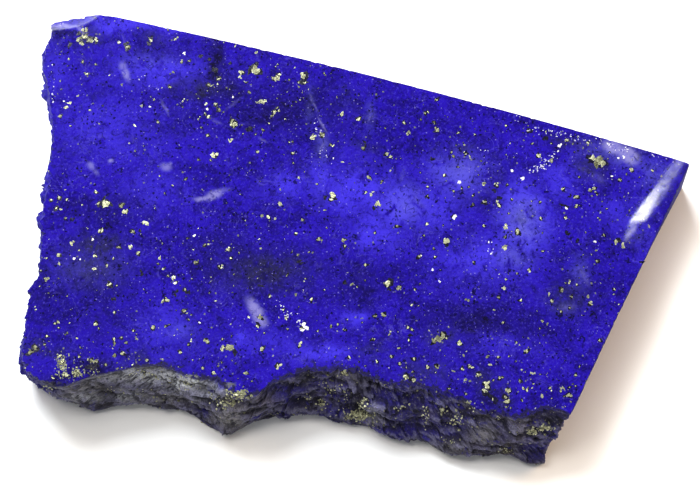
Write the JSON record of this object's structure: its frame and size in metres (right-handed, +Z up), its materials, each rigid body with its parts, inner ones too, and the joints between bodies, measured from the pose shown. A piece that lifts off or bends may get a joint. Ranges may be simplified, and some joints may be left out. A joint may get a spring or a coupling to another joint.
{
  "type": "rough lapis lazuli slice",
  "caption": "Slab of blue lapis lazuli: polished top face, sawn back, right side and underside, broken left and front sides with ledges, pyrite grains throughout.",
  "frame": {"origin": "middle of the stone's box in X and Y, at the height of its sawn underside", "axes": "+Z up out of the polished face, +X along the length of the stone, +Y towards the sawn back"},
  "size_m": [0.0626, 0.0432, 0.0065],
  "materials": {
    "lapis": "deep violet blue lapis lazuli with calcite wisps and darker bands, polished on top, matt grey blue on the broken sides",
    "pyrite": null
  },
  "bodies": {
    "root": {"lapis_slice": "lapis"}
  },
  "joints": []
}
